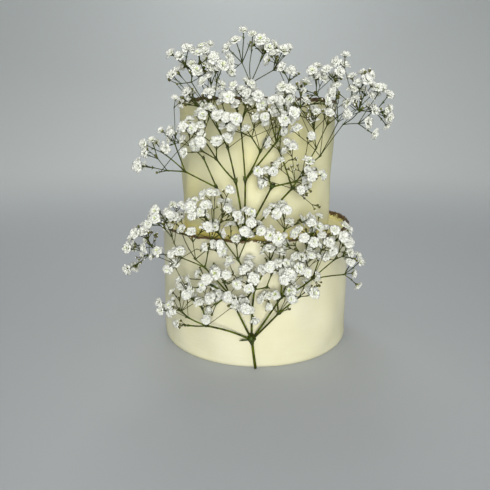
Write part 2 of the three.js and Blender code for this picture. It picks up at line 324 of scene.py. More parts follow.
class Garden:
    """Joints, stems and florets of both sprays, as arrays, for keeping what grows clear of the rest."""

    def __init__(self):
        self.joints = np.empty((0, 3))
        self.stems = np.empty((0, 2), int)
        self.centres = np.empty((0, 3))
        self.radii = np.empty(0)

    def add_joint(self, at):
        """Adds a joint and gives its number."""
        self.joints = np.vstack([self.joints, at])
        return len(self.joints) - 1

    def add_stem(self, start, at):
        """Adds a stem from a joint to a new one, and gives the new one."""
        end = self.add_joint(at)
        self.stems = np.vstack([self.stems, [start, end]])
        return end

    def add_floret(self, at, radius):
        """Adds a floret that what grows later keeps clear of."""
        self.centres = np.vstack([self.centres, at])
        self.radii = np.append(self.radii, radius)

    def has_room_for_floret(self, at, radius, start):
        """True where a floret is clear of the others and of stems that don't meet its own."""
        apart = np.linalg.norm(self.centres - at, axis=1)
        if np.any(apart <= FLORET_SPACING * (self.radii + radius)):
            return False
        others = self.stems[np.all(self.stems != start, axis=1)]
        away = distances(at, self.joints[others[:, 0]], self.joints[others[:, 1]])
        return np.all(away > FLORET_RIM * radius + TWIG_RADIUS)

    def has_room_for_stem(self, start, at):
        """True where a stem from a joint is clear of the florets."""
        away = distances(self.centres, self.joints[start], at)
        return np.all(away > FLORET_RIM * self.radii + TWIG_RADIUS)


class Spray:
    """A spray's stems, florets, buds and leaves, each a list of rows that become arrays."""

    def __init__(self, garden, seed, foot, trunk, radius):
        self.garden = garden
        self.draw = drawn_from(seed)
        self.stems, self.stalks, self.florets, self.buds, self.leaves = [], [], [], [], []
        self.shoot_bases, self.shoot_florets = [], []
        self.add_bough(trunk, garden.add_joint(np.array(foot)), radius)

    def at(self, joint):
        """The place of a joint."""
        return self.garden.joints[joint]

    def add_floret(self, start, along, most_tilt):
        """A floret on a stalk, where one of a few tries, each with a longer stalk, finds room."""
        for attempt in range(STALK_TRIES):
            way = tilted(along, sideways(along, self.draw(0, 360)), self.draw(0, most_tilt))
            radius = self.draw(*FLORET)
            length = self.draw(*STALK) * (1 + STALK_STRETCH * attempt)
            at = clear_of_icing(self.at(start) + way * (length + FLORET_MIDDLE * radius), radius + ROOM)
            faces = unit(way + [0, -FACING, 0])
            spin = self.draw(0, 360)
            has_room = self.garden.has_room_for_floret(at, radius, start)
            if has_room and self.garden.has_room_for_stem(start, at):
                self.garden.add_stem(start, at)
                self.garden.add_floret(at, radius)
                self.stalks.append((self.at(start), at - faces * FLORET_BASE * radius, TWIG_RADIUS))
                self.florets.append((at, radius, faces, spin))
                return True
        return False

    def add_bud(self, start, along):
        """A bud on a short stalk, where there is room."""
        at = clear_of_icing(self.at(start) + along * STALK[0], BUD_RADIUS + ROOM)
        if self.garden.has_room_for_stem(start, at):
            self.garden.add_stem(start, at)
            self.stalks.append((self.at(start), at, TWIG_RADIUS))
            self.buds.append((at, unit(at - self.at(start))))

    def add_tip(self, start, along, most_tilt):
        """A floret, or a bud by chance or for want of room."""
        opens = self.draw(0, 1) > BUD_SHARE
        if not opens or not self.add_floret(start, along, most_tilt):
            self.add_bud(start, along)

    def add_shoots(self, thickets, seed):
        """Thin shoots from bough ends into thickets. Each thicket has its own draw, so that moving one
        changes no other."""
        ends = np.array([self.at(end) for end in self.shoot_bases])
        for number, thicket in enumerate(thickets):
            draw = drawn_from(seed + SEED_STEP * number)
            for _ in range(thicket.shoots):
                self.add_shoot(thicket, ends, draw)

    def add_shoot(self, thicket, ends, draw):
        """A thin shoot into a thicket, with a few florets or buds on stalks.

        It starts from the nearest bough end, or a long one from any that lies well below. A bough end
        above the aim counts as further away by its height over it.
        """
        aside, lift = thicket.radius * draw(-1, 1), thicket.radius * draw(-1, 1)
        aim = np.array([thicket.across + aside, 0, thicket.height + lift])
        gap = ends - aim
        start = ends[np.argmin(np.hypot(gap[:, 0], gap[:, 2]) + np.maximum(0, gap[:, 2]))]
        is_below = (-gap[:, 2] > SHOOT_DOWN[0]) & (-gap[:, 2] < SHOOT_DOWN[1])
        lower_ends = ends[is_below & (np.abs(gap[:, 0]) < SHOOT_ASIDE)]
        chance, pick = draw(0, 1), draw(0, len(lower_ends))
        if chance < SHOOT_LONG_SHARE and len(lower_ends):
            start = lower_ends[int(pick)]
        aim[1] = start[1] - draw(*SHOOT_OUT)
        run = aim - start
        reach = max(SHOOT_LEAST, np.linalg.norm(run) - SHOOT_SHORT)
        base = clear_of_icing(start + unit(run) * reach, ROOM)
        if any([self.add_shoot_tip(draw, base, unit(run), thicket.buds) for _ in range(SHOOT_STALKS)]):
            self.stalks.append((start, base, SHOOT_RADIUS))

    def add_shoot_tip(self, draw, base, along, buds):
        """A floret or a bud on a stalk from a shoot's end, where one of a few tries finds room."""
        opens = draw(0, 1) > buds
        for _ in range(SHOOT_TRIES):
            way = tilted(along, sideways(along, draw(0, 360)), draw(*SHOOT_STALK_TILT))
            length, radius, spin = draw(*STALK), draw(*SHOOT_FLORET), draw(0, 360)
            size = radius if opens else BUD_RADIUS
            at = clear_of_icing(base + way * (length + FLORET_MIDDLE * size), size + ROOM)
            apart = np.linalg.norm(self.garden.centres - at, axis=1)
            if np.any(apart <= SHOOT_SPACING * (self.garden.radii + size)) or not is_inside(at, size):
                continue
            if opens:
                faces = unit(way + [0, -FACING, 0])
                self.garden.add_floret(at, radius)
                self.stalks.append((base, at - faces * FLORET_BASE * radius, SHOOT_RADIUS))
                self.shoot_florets.append((at, radius, faces, spin))
            else:
                self.stalks.append((base, at, SHOOT_RADIUS))
                self.buds.append((at, unit(at - base)))
            return True
        return False

    def add_forks(self, start, along, orders, step, turned):
        """Two twigs, one to each side, that fork again or bear a tip, and a tip between them."""
        hinge = sideways(along, turned)
        for sign in (-1, 1):
            spread = FORK_SPREAD * self.draw(1 - SPREAD_CHANGE, 1 + SPREAD_CHANGE)
            way = tilted(along, hinge, sign * spread)
            length = step * self.draw(1 - FORK_CHANGE, 1 + FORK_CHANGE)
            at = clear_of_icing(self.at(start) + way * length, ROOM)
            turned_next = turned + self.draw(*ROLL)
            if self.garden.has_room_for_stem(start, at):
                end = self.garden.add_stem(start, at)
                self.stems.append((self.at(start), at, TWIG_RADIUS))
                if orders > 1:
                    self.add_forks(end, way, orders - 1, step * FORK_SHRINK, turned_next)
                else:
                    self.add_tip(end, way, STALK_TILT)
        self.add_tip(start, along, MIDDLE_TILT)

    def add_bough(self, part, start, radius):
        """A bough and all that it bears."""
        along = heading(part.turn, part.lean)
        at = self.at(start) + along * part.reach
        end = self.garden.add_stem(start, at)
        kind = self.leaves if part.width else self.stems
        kind.append((self.at(start), at, part.width or radius))
        thinner = max(TWIG_RADIUS, THINNING * min(radius, BOUGH_RADIUS))
        for branch in part.branches:
            self.add_bough(branch, end, thinner)
        if radius < TRUNK and not part.width:
            self.shoot_bases.append(end)
        if part.orders:
            self.add_forks(end, along, part.orders, FORK_STEP, self.draw(0, 180))
        elif not part.branches and not part.width:
            self.add_tip(end, along, STALK_TILT)


# Meshes

UNMARKED = np.zeros((1, 1, 1))


def steps_round(count):
    """Even steps round a circle."""
    return np.arange(count) * 2 * math.pi / count


def spokes(side, up, turn):
    """Directions round an axis: side cos(turn) + up sin(turn)."""
    return side[:, None] * np.cos(turn)[:, None] + up[:, None] * np.sin(turn)[:, None]


def columns_of(rows):
    """A list of rows as one array for each place in the row."""
    return [np.array(column, float) for column in zip(*rows)]


def across(along, spin):
    """Two directions square to each direction and to each other, turned round it by an angle."""
    upright = np.abs(along[:, 2:]) > 0.9
    side = unit(np.cross(np.where(upright, [1.0, 0, 0], [0, 0, 1.0]), along))
    up = np.cross(along, side)
    a = np.radians(spin)[:, None]
    return side * np.cos(a) + up * np.sin(a), up * np.cos(a) - side * np.sin(a)


def shell_faces(count, rows, columns):
    """Corner numbers of closed shells. A row closes round its columns, and an end row is one point."""
    size = (rows - 2) * columns + 2
    ring = 1 + np.arange((rows - 2) * columns).reshape(rows - 2, columns)
    after = np.roll(ring, -1, axis=1)
    quads = np.stack([ring[:-1], after[:-1], after[1:], ring[1:]], axis=-1).reshape(-1, 4)
    near = np.stack([after[0], ring[0], np.zeros(columns, int)], axis=-1)
    far = np.stack([ring[-1], after[-1], np.full(columns, size - 1)], axis=-1)
    first = size * np.arange(count)[:, None, None]
    return (quads + first).reshape(-1, 4), (np.concatenate([near, far]) + first).reshape(-1, 3)


def at_corners(grid):
    """The values at a shell's corners, from a grid of shells, rows and columns."""
    count = len(grid)
    inner = grid[:, 1:-1].reshape(count, -1, *grid.shape[3:])
    values = np.concatenate([grid[:, 0, :1], inner, grid[:, -1, :1]], axis=1)
    return values.reshape(-1, *grid.shape[3:])


def new_object(name, data):
    """An object in the scene."""
    made = bpy.data.objects.new(name, data)
    bpy.context.scene.collection.objects.link(made)
    return made


def new_mesh_object(name, points, faces, finish):
    """A smooth mesh of points in metres, with its finish."""
    mesh = bpy.data.meshes.new(name)
    mesh.from_pydata(points, [], faces)
    mesh.shade_smooth()
    mesh.materials.append(finish)
    return new_object(name, mesh)


def add_piece(name, shells, finish, node):
    """Makes one mesh of shells. A shell is a grid of points and the grids of values its finish reads."""
    corners, faces, marks = [], [], []
    first = 0
    for points, shell_marks in shells:
        size = points.shape[:3]
        quads, triangles = shell_faces(*size)
        corners.append(at_corners(points))
        faces += (quads + first).tolist() + (triangles + first).tolist()
        marks.append({key: at_corners(np.broadcast_to(m, size)) for key, m in shell_marks.items()})
        first += len(corners[-1])
    piece = new_mesh_object(name, np.concatenate(corners) / 1000, faces, finish)
    for key in marks[0]:
        values = np.concatenate([m[key] for m in marks]).astype(np.float32)
        piece.data.attributes.new(key, "FLOAT", "POINT").data.foreach_set("value", values)
    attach(piece, "root")
    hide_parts(node)


# Icing: the steps of its grid, the seam and the collar over it, the torn lip, and the dents

ROUND_STEPS = 640
ROW_STEP = 2.8
LIP_STEP = 0.42
SEAM_STEP = 0.5
SECTION_STEP = 0.1
SOFTENING = 1.5
SEAM_DEPTH = 0.5
SEAM_WIDTH = 0.55
SEAM_WAVES = (0.8, 0.35)
COLLAR_DEPTH = 0.45
TEAR_COUNTS = (26, 37, 53, 71)
TEAR = 0.08
LUMP = 0.11
LUMP_WAVES = ((35, 150), 1.6, 40)
LUMP_OUT = 0.5
LUMP_UP = 0.4
LUMP_INSIDE = 0.35
RAGGED = 0.6
LIFT_AT = 18
LIFT_CLOSE = 4
LIFT_OUT = 0.5
LIFT_SMOOTH = 0.25
DENT = 0.16
DENT_WAVES = ((2, 16), 0.09, 24)
DENT_FROM = 12


def smoothstep(values, low, high):
    """0 up to low, 1 from high, and t t (3 - 2 t) between. It falls where low is above high."""
    t = np.clip((values - low) / (high - low), 0, 1)
    return t * t * (3 - 2 * t)


def ripple(draw, waves):
    """A function of the angle: the sum of size sin(count angle + phase)."""
    phases = [draw(0, 360) for _ in waves]

    def height(angle):
        terms = zip(waves, phases)
        return sum(size * np.sin(count * angle + math.radians(phase)) for (count, size), phase in terms)

    return height


def unevenness(angle, length, rng, counts, pitches, terms):
    """The sum of cos(count angle + pitch length + phase). Whole counts make it close round."""
    count = rng.integers(*counts, terms)
    pitch = rng.uniform(-pitches, pitches, terms)
    phase = rng.uniform(0, 2 * math.pi, terms)
    return sum(np.cos(c * angle + p * length + f) for c, p, f in zip(count, pitch, phase))


def tier_section(tier):
    """Radius, height and length from the crest of each row, from the base's middle to the top's.

    The section's straight lines are softened by a running mean, and its rows are close at the lip and
    the seam: they lie where the sum of 1 / spacing passes whole numbers.
    """
    inner = tier.lip - LIP_WIDTH
    top = tier.crest - RECESS
    cut = LIP_FILLET * (1 - math.sqrt(0.5))
    corners = np.array([
        (0, tier.floor),
        (tier.foot - FOOT_EDGE, tier.floor),
        (tier.foot, tier.floor + FOOT_EDGE),
        (tier.lip, tier.crest - LIP_SHOULDER),
        (tier.lip - LIP_ROUND, tier.crest),
        (inner + LIP_ROUND, tier.crest),
        (inner, tier.crest - LIP_SHOULDER),
        (inner, top + LIP_FILLET),
        (inner - cut, top + cut),
        (inner - LIP_FILLET, top),
        (0, top),
    ])
    reach = np.append(0, np.cumsum(np.linalg.norm(np.diff(corners, axis=0), axis=1)))
    length = np.arange(0, reach[-1], SECTION_STEP)
    mean = np.ones(int(SOFTENING / SECTION_STEP) // 2 * 2 + 1)
    half = len(mean) // 2
    lines = [np.pad(np.interp(length, reach, corners[:, k]), half, "edge") for k in (0, 1)]
    radius, height = (np.convolve(line, mean / mean.sum(), "valid") for line in lines)
    from_crest = length - reach[4]
    to_seam = height - tier.seam
    density = 1 / ROW_STEP + np.exp(-(((from_crest - 3) / 7) ** 4)) / LIP_STEP
    density += np.exp(-((to_seam / 3) ** 2)) * (tier.seam > 0) * (from_crest < 0) / SEAM_STEP
    passed = np.append(0, np.cumsum(density[1:] * SECTION_STEP))
    row = np.interp(np.arange(0, passed[-1]), passed, length)
    radius, height = np.interp(row, length, radius), np.interp(row, length, height)
    radius[0] = radius[-1] = 0
    return radius, height, row - reach[4]


def tier_shell(tier):
    """A tier's section carried round, with a torn lip, soft dents in the wall and a seam under the lip,
    as deep as exp(-(distance / width) squared)."""
    radius, height, from_crest = (row[:, None] for row in tier_section(tier))
    angle = np.linspace(0, 2 * math.pi, ROUND_STEPS, endpoint=False)[None]
    draw = drawn_from(tier.seed)
    rise, drift = ripple(draw, RISE_WAVES), ripple(draw, DRIFT_WAVES)
    rng = np.random.default_rng(tier.seed)
    tear = sum(TEAR * np.abs(np.sin(c * angle + rng.uniform(0, 6))) for c in TEAR_COUNTS)
    lump = LUMP * unevenness(angle, from_crest, rng, *LUMP_WAVES)
    dent = DENT * unevenness(angle, from_crest, rng, *DENT_WAVES)
    on_lip = smoothstep(height, tier.crest - RECESS, tier.crest)
    on_inside = smoothstep(from_crest, -1, 2) * smoothstep(from_crest, 14, 9)
    on_wall = smoothstep(height, tier.floor, tier.floor + DENT_FROM) * (from_crest < 0)
    lift = tier.lift * np.exp(LIFT_CLOSE * (np.cos(angle - math.radians(LIFT_AT)) - 1))
    torn = on_lip * (1 - LIFT_SMOOTH * lift)
    grown = radius + torn * (drift(angle) + LUMP_OUT * lump) + on_lip * LIFT_OUT * lift
    grown = grown + on_inside * lump + on_wall * dent
    raised = height + torn * (RAGGED * rise(angle) - tear + LUMP_UP * lump) + on_lip * lift
    raised = raised + LUMP_INSIDE * on_inside * lump
    if tier.seam:
        wander = tier.seam + SEAM_WAVES[0] * np.sin(2 * angle + 1) + SEAM_WAVES[1] * np.sin(7 * angle)
        groove = SEAM_DEPTH * np.exp(-(((height - wander) / SEAM_WIDTH) ** 2))
        collar = COLLAR_DEPTH * smoothstep(height, wander - 0.5, wander + 0.8)
        collar = collar * smoothstep(height, tier.crest - 2, tier.crest - 7)
        grown = grown - (groove + collar) * (from_crest < 0)
    points = np.stack([grown * np.cos(angle), grown * np.sin(angle), raised + 0 * angle], axis=-1)
    return points[None], {"from_crest": from_crest[None]}


# Flowers: how stems bow, swell and taper, and how much thicker than in the solids

STEM_SIDES = 6
BEND = 0.022
SWELLING = 0.5
TAPER = 0.12
BOUGH_GAIN = 1.6
TWIG_GAIN = 1.25
FOOT_HEIGHT = 1
KNOT = 1.75


def stem_shells(rows, rng):
    """Tubes along start + t (end - start), bowed by b sin(pi t), that taper and swell at both ends.

    No point lies below the floor, so the lowest stem ends flat, and it doesn't swell there.
    """
    start, end, radius = columns_of(rows)
    run = end - start
    length = np.linalg.norm(run, axis=1)[:, None]
    side, up = across(run / length, rng.uniform(0, 360, len(run)))
    thick = np.where(radius > TWIG_RADIUS, BOUGH_GAIN * radius, TWIG_GAIN * radius)[:, None]
    near = np.array([-0.4, 0, 0.9, 2.6]) * np.minimum(thick, length / 8)
    place = np.concatenate([near, length * [0.33, 0.5, 0.67], length - near[:, ::-1]], axis=1)
    full = np.array([0, 0.9, 1, 1, 1, 0.97, 1, 1, 1, 0.9, 0])
    full = full + SWELLING * np.array([0, 0, 1, 0.1, 0, 0, 0, 0, 0, 0, 0]) * (start[:, 2:] > FOOT_HEIGHT)
    full = full + SWELLING * np.array([0, 0, 0, 0, 0, 0, 0, 0.1, 1, 0, 0])
    t = np.clip(place / length, 0, 1)
    bow = rng.normal(0, BEND, (len(run), 1)) * length * np.sin(math.pi * t)
    width = thick * full * (1 - TAPER * t)
    middle = start[:, None] + (run / length)[:, None] * place[..., None] + side[:, None] * bow[..., None]
    around = spokes(side, up, steps_round(STEM_SIDES))
    points = middle[:, :, None] + width[:, :, None, None] * around[:, None]
    points[..., 2] = np.maximum(points[..., 2], 0)
    at_node = np.array([1, 1, 1, 0.4, 0, 0, 0, 0.4, 1, 1, 1])[None, :, None]
    return points, {"node": at_node, "thick": thick[..., None]}


def turned_shells(base, along, size, heights, radii, spin, sides, teeth=(0, 0)):
    """Solids of revolution along a direction. Heights gain tooth size times cos(tooth count angle)."""
    side, up = across(along, spin)
    count, tooth = teeth
    turn = steps_round(sides)
    scale = size[:, None, None]
    height = scale * (np.array(heights)[:, None] + np.array(tooth)[..., None] * np.cos(count * turn))
    radius = scale * np.array(radii)[:, None]
    points = base[:, None, None] + height[..., None] * along[:, None, None]
    return points + radius[..., None] * spokes(side, up, turn)[:, None]


# Petals: the share of florets whose green heart is hidden, how petals differ, and their outlines

HIDDEN_SHARE = 0.6
HEART_HIDDEN = 0.22
OPENNESS_SPREAD = 7
OPENING_SPREAD = 6
CURL_SPREAD = 12
LENGTH_SPREAD = (0.82, 1.1)
WIDTH_SPREAD = (0.8, 1.2)
PETAL_THICK = 0.16
BRACT_THICK = 0.14
LEAF_THICK = 0.25
PETAL_SIDES = 6
PETAL_ROWS = np.array([0, 0.34, 0.72, 0.95, 1])
PETAL_WIDTHS = np.array([0, 0.55, 1, 0.85, 0])
BLADE_WIDTHS = np.array([0, 0.8, 0.9, 0.3, 0])


def blade_shells(base, along, outward, size, width, opening, curl, thick, widths, notch, cup, wave, rng):
    """Petals or leaves. A middle line leaves the axis at an angle that grows evenly to its tip:
    a(v) = opening + curl v, out = (cos a(0) - cos a(v)) / curl, up = (sin a(v) - sin a(0)) / curl.
    The edges lie off it by x widths(v), lifted by cup x x and by a wave, and the tip is notched.
    Gives the points, how far along and how near the edge each is.
    """
    turn = steps_round(PETAL_SIDES)
    x, y = np.cos(turn), np.sin(turn)
    v = PETAL_ROWS[:, None] * (1 - notch * PETAL_ROWS[:, None] ** 3 * (1 - x * x))
    begin, bend = np.radians(opening)[:, None, None], np.radians(curl)[:, None, None]
    a = begin + bend * v
    length, half = size[:, None, None], width[:, None, None] / 2 * widths[:, None]
    out = length * (np.cos(begin) - np.cos(a)) / bend
    up = length * (np.sin(a) - np.sin(begin)) / bend
    phase = rng.uniform(0, 2 * math.pi, (len(base), 1, 1))
    lift = thick * y * widths[:, None] + cup * half * x * x + wave * half * v * np.sin(3 * x + phase)
    aside = np.cross(along, outward)
    reach_out = out - lift * np.cos(a)
    reach_up = up + lift * np.sin(a)
    points = base[:, None, None] + reach_out[..., None] * outward[:, None, None]
    points = points + reach_up[..., None] * along[:, None, None]
    points = points + (half * x)[..., None] * aside[:, None, None]
    return points, v[None], (np.abs(x) + 0 * v)[None]


class Whorl(NamedTuple):
    """A ring of petals: how many, their length, width and the height they spring from as shares of the
    floret's radius, the angle they leave its axis at, how far they curl, and how white they are."""

    petals: int
    length: float
    width: float
    height: float
    opening: float
    curl: float
    white: float


WHORLS = [
    Whorl(9, 1.3, 0.8, -0.42, 48, 46, 1),
    Whorl(8, 1.22, 0.76, -0.36, 31, 44, 1),
    Whorl(6, 1.1, 0.7, -0.28, 16, 42, 0.9),
    Whorl(4, 0.88, 0.58, -0.18, 6, 36, 0.66),
]


def floret_shells(rows, rng):
    """Whorls of petals round each floret's axis, each petal a little different."""
    centre, radius, faces, spin = columns_of(rows)
    side, up = across(faces, spin)
    openness = rng.normal(0, OPENNESS_SPREAD, len(rows))
    hidden = HEART_HIDDEN * (rng.uniform(0, 1, len(rows)) < HIDDEN_SHARE)
    shells = []
    for order, whorl in enumerate(WHORLS):
        which = np.repeat(np.arange(len(rows)), whorl.petals)
        step = 360 / whorl.petals
        turn = np.tile(np.arange(whorl.petals) * step, len(rows)) + order * step / 2
        turn = np.radians(turn + rng.normal(0, step / 8, len(which)))[:, None]
        outward = side[which] * np.cos(turn) + up[which] * np.sin(turn)
        size = radius[which] * whorl.length * rng.uniform(*LENGTH_SPREAD, len(which))
        width = radius[which] * whorl.width * rng.uniform(*WIDTH_SPREAD, len(which))
        opening = whorl.opening + openness[which] + rng.normal(0, OPENING_SPREAD, len(which))
        curl = whorl.curl + rng.normal(0, CURL_SPREAD, len(which))
        base = centre[which] + faces[which] * (whorl.height * radius[which])[:, None]
        points, along, _ = blade_shells(
            base, faces[which], outward, size, width, opening, curl, PETAL_THICK, PETAL_WIDTHS,
            notch=0.2, cup=0.2, wave=0.35, rng=rng,
        )
        shells.append((points, {"along": along * whorl.white + hidden[which][:, None, None]}))
    return shells


def cup_shells(rows, rng):
    """A green cup with five teeth under each floret."""
    centre, radius, faces, _ = columns_of(rows)
    base = centre - faces * (FLORET_BASE * radius)[:, None]
    heights = [-0.25, -0.2, 0, 0.5, 1.2, 0.9]
    radii = [0, 0.4, 0.9, 1.25, 1.45, 0]
    tooth = [0, 0, 0, 0.1, 0.45, 0]
    spin = rng.uniform(0, 360, len(rows))
    points = turned_shells(base, faces, radius * 0.24, heights, radii, spin, 10, (5, tooth))
    return points, {"along": UNMARKED}


def bud_shells(rows, rng):
    """Egg-shaped buds, green below and white at the tip."""
    centre, along = columns_of(rows)
    heights = [-1.15, -1, -0.45, 0.25, 0.85, 1.25, 1.4]
    radii = [0, 0.4, 0.9, 0.98, 0.68, 0.25, 0]
    size = BUD_RADIUS * rng.uniform(0.75, 1.1, len(rows))
    spin = rng.uniform(0, 360, len(rows))
    points = turned_shells(centre, along, size, heights, radii, spin, 8)
    return points, {"along": np.linspace(0, 1, len(heights))[None, :, None]}


def knot_shells(rows, rng):
    """Swollen knots where boughs fork, with three pointed teeth. Their size is KNOT radius squared."""
    start, end, radius = columns_of([row for row in rows if row[2] > TWIG_RADIUS])
    heights = [-4.6, -4.2, -1.8, 0.4, 2.2, 3.6, 1.8]
    radii = [0, 1.3, 1.8, 2.8, 2.9, 2.5, 0]
    spin = rng.uniform(0, 360, len(start))
    tooth = [0, 0, 0, 0.3, 1.1, 2.2, 0]
    size = KNOT * np.minimum(radius, BOUGH_RADIUS) ** 2 * rng.uniform(0.8, 1.2, len(start))
    points = turned_shells(end, unit(end - start), size, heights, radii, spin, 12, (3, tooth))
    return points, {"edge": UNMARKED}


def bract_shells(rows, rng):
    """Two small pointed bracts at the end of each stem that forks."""
    start, end, radius = columns_of(rows)
    along = unit(end - start)
    side, _ = across(along, rng.uniform(0, 360, len(rows)))
    ways, sides = np.tile(along, (2, 1)), np.concatenate([side, -side])
    size = np.tile(0.9 + 5.5 * radius, 2) * rng.uniform(0.7, 1.3, 2 * len(rows))
    opening = rng.uniform(14, 40, 2 * len(rows))
    curl = rng.uniform(5, 35, 2 * len(rows))
    base = np.tile(end, (2, 1)) - ways * 0.5
    points, _, edge = blade_shells(
        base, ways, sides, size, size * 0.42, opening, curl, BRACT_THICK, BLADE_WIDTHS,
        notch=0, cup=0.5, wave=0, rng=rng,
    )
    return points, {"edge": edge}


def leaf_shells(rows, rng):
    """A thin wavy leaf with a point, from each leaf's joint."""
    start, end, width = columns_of(rows)
    along = unit(end - start)
    front = unit(np.array([[0, -1.0, 0]]) - along * (along @ [0, -1.0, 0])[:, None])
    size = np.linalg.norm(end - start, axis=1)
    opening, curl = np.full(len(rows), -8.0), np.full(len(rows), 16.0)
    points, _, edge = blade_shells(
        start, along, front, size, width, opening, curl, LEAF_THICK, BLADE_WIDTHS,
        notch=0, cup=0.25, wave=0.5, rng=rng,
    )
    return points, {"edge": edge}


def sheath_shell(foot, along, heights, radii, split):
    """A funnel with an inner and an outer wall, whose rim is split to a V on two sides."""
    base, way = np.array([foot]), np.array([unit(np.array(along))])
    points = turned_shells(base, way, np.ones(1), heights, radii, np.zeros(1), 16, (2, split))
    return points, {"edge": UNMARKED}


# Finishes


class Wire:
    """A node's socket for arithmetic: each sum or product of wires and numbers is a Math node."""

    def __init__(self, tree, socket=None):
        self.tree = tree
        self.socket = socket

    def node(self, kind, settings, inputs, output=0):
        """Adds a node: its settings first, then the value or wire of each socket."""
        node = self.tree.nodes.new(kind)
        for name, value in settings.items():
            setattr(node, name, value)
        for name, value in inputs.items():
            if isinstance(value, Wire):
                self.tree.links.new(value.socket, node.inputs[name])
            else:
                node.inputs[name].default_value = value
        return Wire(self.tree, node.outputs[output])

    def math(self, operation, *values):
        """A Math node."""
        return self.node("ShaderNodeMath", {"operation": operation}, dict(enumerate(values)))

    def __add__(self, other):
        return self.math("ADD", self, other)

    def __sub__(self, other):
        return self.math("SUBTRACT", self, other)

    def __rsub__(self, other):
        return self.math("SUBTRACT", other, self)

    def __mul__(self, other):
        return self.math("MULTIPLY", self, other)

    __radd__ = __add__
    __rmul__ = __mul__

    def rise(self, low, high):
        """0 up to low and 1 from high, with a smooth step between."""
        inputs = {"Value": self, "From Min": low, "From Max": high}
        return self.node("ShaderNodeMapRange", {"interpolation_type": "SMOOTHSTEP"}, inputs)

    def blend(self, first, second):
        """The first colour where this is 0 and the second where it is 1."""
        return self.node("ShaderNodeMix", {"data_type": "RGBA"}, {0: self, 6: first, 7: second}, 2)

    def stretched(self, scale):
        """A vector multiplied by another."""
        return self.node("ShaderNodeVectorMath", {"operation": "MULTIPLY"}, {0: self, 1: scale})

    def noise(self, scale, detail=2.0, roughness=0.5):
        """Noise on this vector, whose patches are about 1 / scale metres."""
        inputs = {"Vector": self, "Scale": scale, "Detail": detail, "Roughness": roughness}
        return self.node("ShaderNodeTexNoise", {}, inputs)

    def attribute(self, name):
        """A value that the mesh carries at its corners."""
        return self.node("ShaderNodeAttribute", {"attribute_name": name}, {}, "Fac")

    def bump(self, distance):
        """A normal, from this as a height, as deep as the distance in metres."""
        return self.node("ShaderNodeBump", {}, {"Height": self, "Distance": distance})


def srgb(red, green, blue):
    """A colour as its linear values, from its levels of 0 to 255 on a screen."""
    levels = np.array([red, green, blue]) / 255
    linear = np.where(levels > 0.04045, ((levels + 0.055) / 1.055) ** 2.4, levels / 12.92)
    return (*linear.tolist(), 1.0)


def new_finish(name, describe, **constants):
    """A material of one Principled surface. Describe adds its nodes and gives the sockets that vary."""
    material = bpy.data.materials.new(name)
    material.use_nodes = True
    tree = material.node_tree
    tree.nodes.clear()
    start = Wire(tree)
    names = [key.replace("_", " ").title().replace("Ior", "IOR") for key in constants]
    inputs = dict(zip(names, constants.values()))
    place = start.node("ShaderNodeTexCoord", {}, {}, "Object")
    surface = start.node("ShaderNodeBsdfPrincipled", {}, inputs | describe(start, place))
    output = tree.nodes.new("ShaderNodeOutputMaterial")
    tree.links.new(surface.socket, output.inputs["Surface"])
    return material


EVEN = (1, 1, 1)
CREAM = srgb(220, 217, 188)
CREAM_DEEP = srgb(215, 211, 175)
# The upper tier's cream is darker and yellower than the lower tier's: partly its own warmer tone, partly
# painted shade.
CREAM_WARM_SHADED = srgb(215, 212, 173)
CREAM_WARM_SHADED_DEEP = srgb(209, 204, 153)
# The yellow of painted shade and bounced light inside the lower lip and at the upper tier's foot
CREAM_YELLOW_SHADE = srgb(238, 226, 130)
BRONZE = srgb(100, 76, 38)
BRONZE_DARK = srgb(62, 45, 22)
BRONZE_THIN = srgb(160, 116, 52)
PETAL_WHITE = srgb(241, 242, 234)
PETAL_SHADE = srgb(234, 239, 217)
PETAL_HEART = srgb(196, 214, 96)
STEM_GREEN = srgb(84, 98, 4)
STEM_BROWN = srgb(44, 48, 14)
STEM_DARK = srgb(34, 40, 2)
BUD_GREEN = srgb(102, 104, 48)
BUD_BROWN = srgb(66, 60, 28)
LEAF_GREEN = srgb(58, 74, 4)
LEAF_EDGE = srgb(104, 132, 36)


def icing_finish(name, cream_light, cream_deep, down, inwards, inside_lip_shade, gutter_shade):
    """Cream icing, mottled, with bronze paint from so far down the outside of the lip to so far inside.

    The last two numbers are how yellow it is inside its lip and below the lower lip's height: painted
    shade and bounced light in these recesses, partly also the cream's own yellower tone.
    """

    def describe(start, place):
        from_crest = start.attribute("from_crest")
        mottle = place.noise(22, 3).rise(0.3, 0.75)
        cream = mottle.blend(cream_light, cream_deep)
        # Painted shade and bounced light: yellower inside the lip and on the upper tier's wall below the
        # lower lip's height
        low = 1 - place.node("ShaderNodeSeparateXYZ", {}, {0: place}, "Z").rise(0.127, 0.143)
        yellow = from_crest.rise(0.5, 3) * inside_lip_shade + low * gutter_shade
        cream = yellow.blend(cream, CREAM_YELLOW_SHADE)
        torn = place.noise(180, 3, 0.6) - 0.5
        drips = place.stretched((1, 1, 0.05)).noise(170, 1).rise(0.66, 0.78)
        broken = place.noise(75, 2).rise(0.3, 0.36)
        outer = (from_crest + torn * 1.6 + drips * 3).rise(-down - 0.3, -down + 0.3)
        inner = 1 - (from_crest + torn * 5).rise(inwards - 0.4, inwards + 0.4)
        paint = outer * inner * broken
        tone = place.noise(140, 4, 0.6).rise(0.35, 0.65)
        bronze = tone.blend(BRONZE_DARK, BRONZE)
        bronze = (drips * 0.8).blend(bronze, BRONZE_THIN)
        marks = place.stretched((1, 1, 7)).noise(45, 4)
        grain = place.noise(420, 3)
        relief = marks * 0.5 + grain * 0.25 + paint * place.noise(600, 2) * 0.9
        return {
            "Base Color": paint.blend(cream, bronze),
            "Roughness": 0.62 - paint * 0.16 + (grain - 0.5) * 0.2,
            "Normal": relief.bump(0.0006),
        }

    return new_finish(
        name, describe, subsurface_weight=0.1, subsurface_scale=0.002, subsurface_radius=EVEN,
    )


